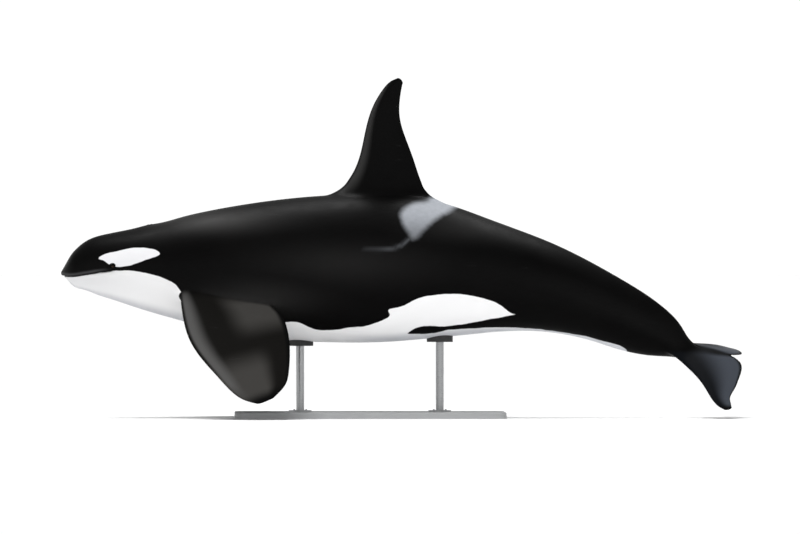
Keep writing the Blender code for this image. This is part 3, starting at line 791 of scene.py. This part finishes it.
def blend_roots(skin, body, fins):
    """Rounds the skin where each fin leaves the body, by a smooth minimum of their two distances."""
    body_tree = tree_of(body)
    for _, fin, _, width in fins:
        fin_tree = tree_of(fin)
        merge_close(skin, blend_band(skin, body_tree, fin_tree, fin, width)[0])
        band, hold = blend_band(skin, body_tree, fin_tree, fin, width)
        points = get_points(skin.data)
        edges = edges_near(skin.data, band)
        ahead = 1 - smoothstep(*FLUKE_BLEND_FADES, points[band, 0] - SNOUT_X)
        for _ in range(BLEND_TURNS):
            to_body, body_normal = nearest(body_tree, points[band])
            to_fin, fin_normal = nearest(fin_tree, points[band])
            apart = 1 - np.clip((body_normal * fin_normal).sum(axis=1), 0.0, 1.0)
            reach = np.maximum(width * apart * ahead, 1e-4)
            share = np.clip(0.5 + 0.5 * (to_fin - to_body) / reach, 0.0, 1.0)
            value = to_fin * (1 - share) + to_body * share - reach * share * (1 - share)
            slope = share[:, None] * body_normal + (1 - share)[:, None] * fin_normal
            steep = np.maximum((slope**2).sum(axis=1), 0.2)
            points[band] -= (ahead * np.clip(value, -BLEND_STEP, BLEND_STEP) / steep)[:, None] * slope
            relax(points, edges, band, hold * ahead * smoothstep(0.0, 0.4, apart))
        core = np.abs(to_body) + np.abs(to_fin) < CALM_SHARE * width
        for _ in range(CALM_TURNS):
            relax(points, edges, band, core * ahead)
        set_points(skin.data, points)


def edges_near(mesh, band):
    """The mesh's edges that touch any of these points."""
    ends = np.empty(len(mesh.edges) * 2, int)
    mesh.edges.foreach_get("vertices", ends)
    ends = ends.reshape(-1, 2)
    used = np.zeros(len(mesh.vertices), bool)
    used[band] = True
    return ends[used[ends].any(axis=1)]


def relax(points, edges, band, shares):
    """Moves the band's points towards the mean of their neighbours, by these shares."""
    total = np.zeros_like(points)
    count = np.zeros(len(points))
    for a, b in ((0, 1), (1, 0)):
        np.add.at(total, edges[:, a], points[edges[:, b]])
        np.add.at(count, edges[:, a], 1)
    means = total[band] / count[band, None]
    points[band] += (RELAXING * shares)[:, None] * (means - points[band])


def merge_close(skin, band):
    """Merges the band's points that nearly meet, and dissolves slivers between them."""
    with editing(skin.data) as work:
        work.verts.ensure_lookup_table()
        verts = [work.verts[i] for i in band]
        bmesh.ops.remove_doubles(work, verts=verts, dist=MERGE_GAP)
        edges = {edge for vert in verts if vert.is_valid for edge in vert.link_edges}
        bmesh.ops.dissolve_degenerate(work, edges=list(edges), dist=SLIVER)


# The skin's small forms, each as how far it moves the surface outward.


def mouth_form(points, distances):
    """The line of the mouth, the lip that hangs over the jaw and the rolls on each side of the line."""
    aft, height = side_view(points).T
    above = above_mouth(aft, height)
    on_head = distances < HEAD_FORMS_END
    step = smoothstep(0.004, -0.004, above) * (1 - smoothstep(0.02, 0.13, -above))
    step *= on_head * (1 - smoothstep(MOUTH_END, MOUTH_END + 0.08, aft))
    overhang = LIP_OVERHANG * (1 - smoothstep(*LIP_FADES, distances))
    ends = 1 - smoothstep(MOUTH_END - 0.03, MOUTH_END + 0.02, aft)
    return -overhang * step + ends * on_head * ridges(above, *LIP_RIDGES)


def eye_form(points, side):
    """The eye's opening, its lids and the folds round them."""
    here, _, aft, round_it = body_spot(EYE_AT, side * EYE_TURN)
    away = points - here
    u, v = away @ aft, away @ round_it
    oval = np.hypot(u / EYE_OPENING[0], v / EYE_OPENING[1])
    opening = -EYE_RADIUS * smoothstep(1.00, 0.72, oval)
    near = np.linalg.norm(away, axis=1) < 0.15
    return near * (opening + ridges(oval, *LID_RIDGES) + ridges(np.hypot(u, v), BROW))


def blowhole_form(points):
    """The blowhole's crescent, whose horns point forward, and the low mound round it."""
    here, _, aft, round_it = body_spot(BLOWHOLE_AT, 0.0)
    away = points - here
    u = away @ aft + 0.4 * BLOWHOLE_RADIUS
    v = away @ round_it
    ends = smoothstep(BLOWHOLE_SPREAD, 0.6 * BLOWHOLE_SPREAD, np.abs(np.arctan2(v, u)))
    off = np.hypot(u, v) - BLOWHOLE_RADIUS
    height, middle, width = BLOWHOLE_MOUND
    mound = ridges(np.hypot(u - middle, v), (height, 0.0, width))
    near = np.linalg.norm(away, axis=1) < 0.2
    return near * (ridges(off, *BLOWHOLE_RIDGES) * ends + mound)


def belly_form(points, distances):
    """The slits on the belly's middle line, in front of the tail stock, and the low swell round them."""
    _, out, up = from_axis(points, distances)
    long, short, swell = (smoothstep(end, full, np.abs(distances - at)) for at, full, end in SLITS)
    return (up < 0) * (ridges(out, BELLY_SWELL) * swell + ridges(out, BELLY_SLIT) * (long + short))


def muscle_form(points, distances):
    """The long, low swells of muscle along the tail stock, and the dip behind the head."""
    _, out, up = from_axis(points, distances)
    angle = np.arctan2(np.abs(out), up)
    tail = smoothstep(3.6, 4.6, distances) * smoothstep(6.0, 5.5, distances)
    return tail * ridges(angle, *FLANK_RIDGES) + ridges(distances, NECK_DIP) * smoothstep(2.4, 0.6, angle)


def shape_details(skin, body):
    """Moves the skin by its small forms, and returns how far along the axis each point is."""
    points = get_points(skin.data)
    distances = axis_distances(points)
    normals = vectors(skin.data.vertex_normals, "vector")
    moved = mouth_form(points, distances) + blowhole_form(points)
    moved += eye_form(points, 1) + eye_form(points, -1)
    on_body = smoothstep(0.030, 0.004, np.abs(nearest(tree_of(body), points)[0]))
    moved += on_body * (belly_form(points, distances) + muscle_form(points, distances))
    set_points(skin.data, points + moved[:, None] * normals)
    return distances


def add_field(mesh, name, values):
    attribute = mesh.attributes.new(name, "FLOAT", "POINT")
    attribute.data.foreach_set("value", np.asarray(values, np.float32))


def fin_fields(points, to_body, fins):
    """How much points belong to each kind of fin, where on it they are, and how far in a fluke's white."""
    fields = {name: np.zeros(len(points)) for name in ("dorsal", "flipper", "fluke", "span")}
    fields["chord"] = np.full(len(points), 0.5)
    white = np.full(len(points), OUTSIDE)
    for kind, fin, facts, _ in fins:
        near = np.flatnonzero(within_box(points, get_points(fin), 0.05))
        to_fin = nearest(tree_of(fin), points[near])[0]
        chord, span, side = facts_near(fin, facts, points[near]).T
        on_fin = smoothstep(0.012, 0.004, to_fin) * smoothstep(0.0, 0.06, to_body[near])
        fields[kind][near] = np.maximum(fields[kind][near], on_fin)
        for name, values in (("chord", chord), ("span", span)):
            fields[name][near] = np.where(on_fin > 0, values, fields[name][near])
        if kind == "fluke":
            rim = [chord - 0.10, 0.88 - chord, 0.93 - span, span - 0.20, -0.2 * side, 0.2 * (on_fin - 0.5)]
            white[near] = np.maximum(white[near], 0.5 * np.min(rim, axis=0))
    return fields, white


def add_fields(skin, body, fins, distances):
    """Stores what the skin's material reads: the markings, painted sheen and highlights, and places on fins.
    """
    points = get_points(skin.data)
    flat = folded_view(points, distances)
    aft, above = flat.T
    to_body = np.abs(nearest(tree_of(body), points)[0])
    eye = body_spot(EYE_AT, EYE_TURN)[0]
    to_eye = np.linalg.norm(np.abs(points - eye * (1, 0, 1)) - eye * (0, 1, 0), axis=1)
    fields, fluke_white = fin_fields(points, to_body, fins)
    on_fin = np.max([fields[kind] for kind in ("dorsal", "flipper", "fluke")], axis=0) > 0.6
    limits = [white_field(flat), FIN_FOOT_RIM - to_body, to_eye - EYE_OPENING[0] - EYE_RIM]
    fields["white"] = np.maximum(np.min(limits, axis=0), fluke_white)
    fields["saddle"] = np.where(on_fin, OUTSIDE, signed_distance(flat, GREY))
    to_tail, place = line_distance(flat, open_curve(SADDLE_TAIL, 30))
    fields["saddle_tail"] = ridges(to_tail, SADDLE_TAIL_RIDGE) * (1 - place) ** 0.7
    # Painted sheen: soft grey highlights on the body, kept off the fins.
    sheens = [ridges(aft, along_it) * ridges(above, across_it) for along_it, across_it in PAINTED_SHEENS]
    fields["painted_sheen"] = np.where(on_fin, 0.0, np.max(sheens, axis=0))
    # Painted highlight: a pale band along the upper lip, just above the mouth's line.
    fields["lip"] = ridges(above_mouth(aft, above), LIP_SHEEN) * smoothstep(MOUTH_END, 0.30, aft)
    fields["keel"] = underside(points, distances)
    for name, values in fields.items():
        add_field(skin.data, name, values)


def make_skin(material):
    fins = make_fins()
    body = body_mesh(fins)
    skin = new_object("orca_skin", body.copy())
    join_fins(skin, [(kind, mesh.copy(), facts, width) for kind, mesh, facts, width in fins])
    blend_roots(skin, body, fins)
    distances = shape_details(skin, body)
    add_fields(skin, body, fins, distances)
    skin.data.shade_smooth()
    skin.data.materials.clear()
    skin.data.materials.append(material)
    return skin


# Materials.


class Nodes:
    """Short ways to build the nodes of one material or world."""

    def __init__(self, owner, shader="Principled BSDF"):
        owner.use_nodes = True
        self.owner = owner
        self.tree = owner.node_tree
        self.shader = self.tree.nodes[shader]

    def put(self, node, socket, value):
        if isinstance(value, bpy.types.NodeSocket):
            self.tree.links.new(value, node.inputs[socket])
        elif value is not None:
            node.inputs[socket].default_value = value

    def node(self, kind, output=0, inputs=(), **settings):
        made = self.tree.nodes.new(kind)
        for key, value in settings.items():
            setattr(made, key, value)
        for socket, value in dict(inputs).items():
            self.put(made, socket, value)
        return made.outputs[output]

    def field(self, name):
        return self.node("ShaderNodeAttribute", "Fac", attribute_name=name)

    def place(self):
        return self.node("ShaderNodeTexCoord", "Object")

    def noise(self, scale, detail=4.0, roughness=0.55, stretch=None):
        where = self.place()
        if stretch:
            where = self.node("ShaderNodeVectorMath", inputs={0: where, 1: stretch}, operation="MULTIPLY")
        inputs = {"Vector": where, "Scale": scale, "Detail": detail, "Roughness": roughness}
        return self.node("ShaderNodeTexNoise", "Fac", inputs)

    def math(self, operation, a, b):
        return self.node("ShaderNodeMath", inputs={0: a, 1: b}, operation=operation)

    def times(self, first, *others):
        product = first
        for other in others:
            product = self.math("MULTIPLY", product, other)
        return product

    def ramp(self, value, low, high, to_low=0.0, to_high=1.0):
        """Goes smoothly from to_low, where the value is low, to to_high, where it is high."""
        inputs = {0: value, 1: low, 2: high, 3: to_low, 4: to_high}
        return self.node("ShaderNodeMapRange", inputs=inputs, interpolation_type="SMOOTHSTEP")

    def mix(self, share, a, b):
        """From colour a, where the share is 0, to colour b, where it is 1."""
        made = self.tree.nodes.new("ShaderNodeMix")
        made.data_type = "RGBA"
        self.put(made, 0, share)
        for socket, colour in ((6, a), (7, b)):
            self.put(made, socket, (*colour, 1.0) if isinstance(colour, tuple) else colour)
        return made.outputs[2]

    def bump(self, height, strength, distance, normal=None):
        inputs = {"Height": height, "Strength": strength, "Distance": distance, "Normal": normal}
        return self.node("ShaderNodeBump", inputs=inputs)

    def finish(self, **inputs):
        for socket, value in inputs.items():
            self.put(self.shader, socket.replace("_", " "), value)
        return self.owner


def new_nodes(name):
    return Nodes(bpy.data.materials.new(name))


def dark_skin(n, patchy, chord, span):
    """Black with painted sheen, brown flippers, slate flukes, painted highlights on fins and upper lip."""
    # Painted sheen over the black.
    colour = n.mix(n.field("painted_sheen"), n.mix(patchy, *BLACK), SHEEN_GREY)
    brown_and_highlights = n.mix(n.ramp(span, 0.08, 0.24), *FLIPPER_BROWN)
    # Painted highlights on the flipper: a patch in its middle and one on the front half near the tip.
    high = n.times(n.ramp(span, 0.19, 0.32), n.ramp(span, 0.60, 0.42), n.ramp(chord, 0.38, 0.66))
    low = n.times(n.ramp(span, 0.62, 0.80), n.ramp(chord, 0.80, 0.55))
    brown_and_highlights = n.mix(n.math("MAXIMUM", high, low), brown_and_highlights, FLIPPER_HIGHLIGHT)
    inner = n.times(n.ramp(chord, 0.985, 0.93), n.ramp(span, 0.99, 0.92))
    colour = n.mix(n.field("flipper"), colour, n.mix(inner, FLIPPER_RIM, brown_and_highlights))
    slate = n.mix(n.ramp(chord, 0.20, 0.80), *FLUKE_SLATE)
    colour = n.mix(n.field("fluke"), colour, n.mix(inner, FLUKE_RIM, slate))
    # A painted highlight along the front edge of the flippers, fainter on the dorsal fin.
    front = n.times(n.ramp(chord, 0.010, 0.045), n.ramp(chord, 0.21, 0.06))
    ends = n.times(n.ramp(span, 0.02, 0.25, 0.1), n.ramp(span, 0.97, 0.80))
    highlit_fins = n.math("MAXIMUM", n.times(n.field("dorsal"), 0.35), n.field("flipper"))
    colour = n.mix(n.times(front, ends, highlit_fins), colour, LEADING_EDGE_HIGHLIGHT)
    # The painted highlight along the upper lip.
    return n.mix(n.times(n.field("lip"), 0.8), colour, LIP_HIGHLIGHT_GREY)


def saddle_share(n, wander, height):
    """How grey the skin is at the saddle and at the thin tail that runs forward from it."""
    edge = n.math("ADD", n.field("saddle"), n.times(wander, 2.2))
    saddle = n.times(
        n.ramp(edge, -0.030, 0.050),
        n.ramp(height, 1.72, 1.98, 0.55, 1.0),
        n.ramp(n.noise(22.0), 0.2, 0.7, 0.90, 1.0),
    )
    return n.math("MAXIMUM", saddle, n.times(n.field("saddle_tail"), 0.20))


def white_skin(n, patchy, aft, height, keel):
    """Whites of eye patch, throat and belly, with painted shade below and the head's whites painted greyer.
    """
    throat = n.mix(n.ramp(keel, 0.72, 1.0), n.mix(patchy, *THROAT_WHITE), THROAT_SHADE)
    throat = n.mix(n.ramp(aft, -2.95, -2.1, 0.5, 0.0), throat, CHIN_SHADE)
    belly_shade = n.times(n.ramp(keel, 0.88, 0.98), n.ramp(aft, -0.5, 0.2))
    belly = n.mix(belly_shade, n.mix(patchy, *BELLY_WHITE_LIT), BELLY_SHADE)
    front = n.mix(n.ramp(height, 1.40, 1.47), throat, n.mix(patchy, *PATCH_WHITE_SHADED))
    return n.mix(n.ramp(aft, -1.5, -0.4), front, belly)


def skin_material():
    """Satin skin: black above, white below, the grey saddle, brownish flippers and slate flukes."""
    n = new_nodes("orca_skin")
    patchy = n.noise(1.6, 5.0)
    wander = n.times(n.math("SUBTRACT", n.noise(9.0, 5.0, 0.6), 0.5), 0.016)
    aft = n.node("ShaderNodeSeparateXYZ", "X", {0: n.place()})
    height = n.node("ShaderNodeSeparateXYZ", "Z", {0: n.place()})
    keel = n.field("keel")
    colour = dark_skin(n, patchy, n.field("chord"), n.field("span"))
    colour = n.mix(saddle_share(n, wander, height), colour, SADDLE_GREY)
    white_edge = n.math("ADD", n.field("white"), wander)
    white = white_skin(n, patchy, aft, height, keel)
    colour = n.mix(n.ramp(white_edge, -0.0035, 0.0035), colour, white)
    scratches = n.ramp(n.noise(7.0, 8.0, 0.7, stretch=(0.35, 2.0, 2.6)), 0.66, 0.74, 0.0, 0.05)
    colour = n.mix(scratches, colour, SCRATCH_GREY)

    rough = n.ramp(n.noise(4.0, 6.0), 0.3, 0.7, 0.42, 0.52)
    normal = n.bump(n.noise(2.4, 4.0), 0.25, 0.010)
    normal = n.bump(n.noise(46.0, 3.0, 0.5, stretch=(0.25, 1.0, 1.0)), 0.10, 0.0015, normal)
    gloss = n.ramp(keel, -0.2, 0.5, 0.048, 0.020)
    return n.finish(Base_Color=colour, Roughness=rough, Normal=normal, Specular_IOR_Level=gloss)


def eye_material():
    """A dark brown iris with a black pupil, in a reddish dark white of the eye, all wet."""
    n = new_nodes("orca_eye")
    off = n.field("off_axis")
    iris = n.mix(n.noise(900.0, 3.0), (0.012, 0.006, 0.003), (0.036, 0.018, 0.009))
    white = n.mix(n.noise(160.0), (0.006, 0.004, 0.004), (0.020, 0.013, 0.012))
    colour = n.mix(n.ramp(off, 0.66, 0.74), iris, white)
    colour = n.mix(n.ramp(off, 0.22, 0.27), (0.001, 0.001, 0.0015), colour)
    wet = {"Specular_IOR_Level": 0.05, "Coat_Weight": 0.35, "Coat_Roughness": 0.04}
    return n.finish(Base_Color=colour, Roughness=0.25, **wet)


def paint_material():
    """Satin grey paint with a faint orange peel, and a little dust and wear."""
    n = new_nodes("base_paint")
    cloud = n.noise(3.0, 6.0)
    colour = n.mix(cloud, (0.26, 0.265, 0.27), (0.32, 0.325, 0.33))
    scuffs = n.ramp(n.noise(30.0, 8.0, 0.75, stretch=(0.3, 1.0, 1.0)), 0.68, 0.80)
    colour = n.mix(n.times(scuffs, 0.25), colour, (0.17, 0.17, 0.175))
    rough = n.ramp(cloud, 0.3, 0.7, 0.38, 0.52)
    return n.finish(Base_Color=colour, Roughness=rough, Normal=n.bump(n.noise(320.0, 2.0), 0.20, 0.0006))


def steel_material():
    """Brushed steel, with its brushing round the upright rods and discs."""
    n = new_nodes("rod_steel")
    brush = n.noise(700.0, 3.0, 0.6, stretch=(0.02, 0.02, 1.0))
    colour = n.mix(brush, (0.30, 0.305, 0.31), (0.36, 0.365, 0.37))
    rough = n.ramp(brush, 0.2, 0.8, 0.24, 0.40)
    return n.finish(Base_Color=colour, Metallic=1.0, Roughness=rough, Normal=n.bump(brush, 0.12, 0.0005))


def rubber_material():
    n = new_nodes("pad_rubber")
    grain = n.noise(180.0)
    colour = n.mix(grain, (0.012, 0.012, 0.012), (0.030, 0.030, 0.030))
    rough = n.ramp(n.noise(12.0, 5.0), 0.3, 0.7, 0.65, 0.85)
    return n.finish(Base_Color=colour, Roughness=rough, Normal=n.bump(grain, 0.25, 0.0008))


def floor_material():
    return new_nodes("studio_floor").finish(Base_Color=(0.92, 0.92, 0.92, 1.0), Roughness=0.75)


# Eyes and stand.


def make_eye(name, side, material):
    """An eyeball with a bulging cornea. off_axis is 0 in the middle of its front and 1 at its side."""
    here, outward, aft, round_it = body_spot(EYE_AT, side * EYE_TURN)
    tilts = np.linspace(0, math.pi, EYE_RINGS + 1)
    turns = np.linspace(0, 2 * math.pi, EYE_POINTS, endpoint=False)
    off = np.sin(tilts)
    bulge = CORNEA_BULGE * np.clip(1 - (off / CORNEA_RADIUS) ** 2, 0, 1)
    height = np.cos(tilts) + np.where(tilts < math.pi / 2, bulge, 0.0)
    basis = (EYE_RADIUS - EYE_GAP) * np.stack([aft, round_it, outward])
    rings = []
    for radius, z in zip(off, height):
        ring = [radius * np.cos(turns), radius * np.sin(turns), np.full(EYE_POINTS, z)]
        rings.append(here - EYE_SUNK * outward + np.stack(ring, axis=1) @ basis)
    mesh = rings_to_mesh(name, rings[1:-1], start=rings[0][0], end=rings[-1][0])
    off_axis = np.where(tilts < math.pi / 2, off, 1.0)
    add_field(mesh, "off_axis", np.append(np.repeat(off_axis[1:-1], EYE_POINTS), off_axis[[0, -1]]))
    mesh.shade_smooth()
    mesh.materials.append(material)
    return new_object(name, mesh)


def make_bolts(name, node, material):
    """Domed hexagonal bolts with washers, in a circle on a flange of the stand."""
    low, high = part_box(node)
    middle = (low + high) / 2
    radius = BOLT_CIRCLE * (high.x - low.x) / 2
    mesh = bpy.data.meshes.new(name)
    with editing(mesh) as work:
        for k in range(BOLTS):
            angle = math.pi / 4 + k * 2 * math.pi / BOLTS
            x = middle.x + radius * math.cos(angle)
            y = middle.y + radius * math.sin(angle)
            for sides, foot, top, depth, above, turn in BOLT_PIECES:
                size = {"segments": sides, "radius1": foot, "radius2": top, "depth": depth}
                verts = bmesh.ops.create_cone(work, cap_ends=True, **size)["verts"]
                spin = Matrix.Rotation(turn * angle, 3, "Z")
                bmesh.ops.rotate(work, verts=verts, cent=(0, 0, 0), matrix=spin)
                bmesh.ops.translate(work, verts=verts, vec=(x, y, high.z + above))
    mesh.materials.append(material)
    mesh.shade_smooth()
    mesh.set_sharp_from_angle(angle=math.radians(30))
    return new_object(name, mesh)


# Stage, lights and camera.


def make_stage():
    mesh = bpy.data.meshes.new("studio_floor")
    corners = ((-1, -1), (1, -1), (1, 1), (-1, 1))
    mesh.from_pydata([(x * FLOOR_REACH, y * FLOOR_REACH, 0) for x, y in corners], [], [(0, 1, 2, 3)])
    mesh.materials.append(floor_material())
    new_object("studio_floor", mesh)


def make_world():
    """A world that is bright round the horizon and dimmer overhead, so that dark skin stays dark."""
    world = bpy.data.worlds.new("studio")
    bpy.context.scene.world = world
    n = Nodes(world, "Background")
    height = n.node("ShaderNodeSeparateXYZ", "Z", {0: n.node("ShaderNodeTexCoord", "Generated")})
    strength = n.ramp(height, *HORIZON_GLOW, HORIZON_STRENGTH, OVERHEAD_STRENGTH)
    n.finish(Color=(1.0, 1.0, 1.0, 1.0), Strength=strength)


def add_light(name, kind, place, target, in_gloss=True, **settings):
    data = bpy.data.lights.new(name, kind)
    for key, value in settings.items():
        setattr(data, key, value)
    light = new_object(name, data)
    light.location = place
    light.visible_glossy = in_gloss
    light.rotation_euler = (Vector(target) - Vector(place)).to_track_quat("-Z", "Y").to_euler()


def add_strip(name, place, target, strength, length, width, in_gloss=True):
    size = {"shape": "RECTANGLE", "size": length, "size_y": width}
    add_light(name, "AREA", place, target, in_gloss, energy=strength, **size)


def make_lights():
    """A soft key high above the left side, a fill for the belly and a strip for the back's sheen."""
    key_angle = math.radians(30)
    add_light("key", "SUN", (-1.6, -3.2, 9), (0, 0, 0), False, energy=KEY_STRENGTH, angle=key_angle)
    add_strip("belly_fill", (1.0, -5.0, 0.5), (0.6, 0, 1.2), FILL_STRENGTH, 5.0, 0.8, in_gloss=False)
    add_strip("over_back", (0.0, 1.6, 6.0), (0.3, 0, 1.8), BACK_STRENGTH, 7.5, 1.0)


def make_camera():
    """A long lens, almost square to the left side."""
    data = bpy.data.cameras.new("camera")
    data.lens = LENS
    data.sensor_width = SENSOR
    data.clip_end = 4000
    camera = new_object("camera", data)
    back = Vector((math.sin(CAMERA_TURN), -math.cos(CAMERA_TURN), 0.0))
    camera.location = Vector(VIEW_CENTRE) + VIEW_WIDTH * LENS / SENSOR * back
    camera.rotation_euler = (-back).to_track_quat("-Z", "Y").to_euler()
    bpy.context.scene.camera = camera


# Everything together.


def dress(piece, slot, *nodes):
    if nodes:
        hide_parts(*nodes)
    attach(piece, "root")


def repaint(node, material):
    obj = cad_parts[node]
    obj.data.materials.clear()
    obj.data.materials.append(material)


def main():
    dress(make_skin(skin_material()), "skin", *FLESH)
    eye = eye_material()
    for side_name, side in (("left", -1), ("right", 1)):
        dress(make_eye(f"eyeball_{side_name}", side, eye), "eye", f"eye_{side_name}")
    steel, rubber = steel_material(), rubber_material()
    repaint("stand_base", paint_material())
    for end in ("front", "rear"):
        repaint(f"stand_flange_{end}", steel)
        repaint(f"stand_rod_{end}", steel)
        repaint(f"stand_pad_{end}", rubber)
        dress(make_bolts(f"bolts_{end}", f"stand_flange_{end}", steel), "rod_steel")
    make_stage()
    make_world()
    make_lights()
    make_camera()
    bpy.context.scene.view_settings.view_transform = "Standard"


main()
